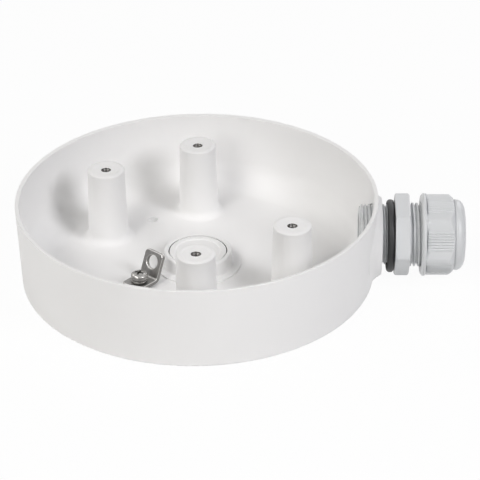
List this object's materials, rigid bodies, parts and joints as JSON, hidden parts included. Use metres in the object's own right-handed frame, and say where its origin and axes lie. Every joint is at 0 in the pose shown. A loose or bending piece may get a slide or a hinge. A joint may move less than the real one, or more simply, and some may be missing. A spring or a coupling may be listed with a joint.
{
  "type": "camera junction box",
  "caption": "Round cast back box for a surveillance camera, with tapped corner bosses, a plugged rear cable entry, an earth terminal and a side cable gland.",
  "frame": {"origin": "on the wall face, at the centre line of the round box", "axes": "+X out through the side cable gland, +Z out of the box's open mouth towards the camera, +Y completes the right-handed frame"},
  "size_m": [0.1835, 0.148, 0.035],
  "materials": {
    "white_coat": "satin white powder coat over a die casting",
    "grey_nylon": "moulded light grey nylon, slightly glossy",
    "black_rubber": "matt black rubber",
    "dark_steel": "dull plated strip steel",
    "bright_steel": "bright plated steel"
  },
  "bodies": {
    "box": {"housing": "white_coat", "entry_plug": "white_coat", "entry_plug_o_ring": "black_rubber", "ground_bracket": "dark_steel", "ground_screw": "bright_steel", "ground_lock_washer": "bright_steel", "gland_body": "grey_nylon", "gland_gasket": "black_rubber"},
    "seal": {"gland_seal": "black_rubber"},
    "nut": {"gland_nut": "grey_nylon"}
  },
  "joints": [
    {"name": "seal_slide", "type": "slide", "parent": "box", "child": "seal", "axis": [-1, 0, 0], "range_m": [0, 0.0045]},
    {"name": "nut_turn", "type": "hinge", "parent": "seal", "child": "nut", "pos_m": [0.1, 0, 0.0173], "axis": [-1, 0, 0], "range_deg": [0, 810]}
  ],
  "couplings": [
    {"joint": "seal_slide", "follows": "nut_turn", "m_per_rad": 0.0003183}
  ]
}
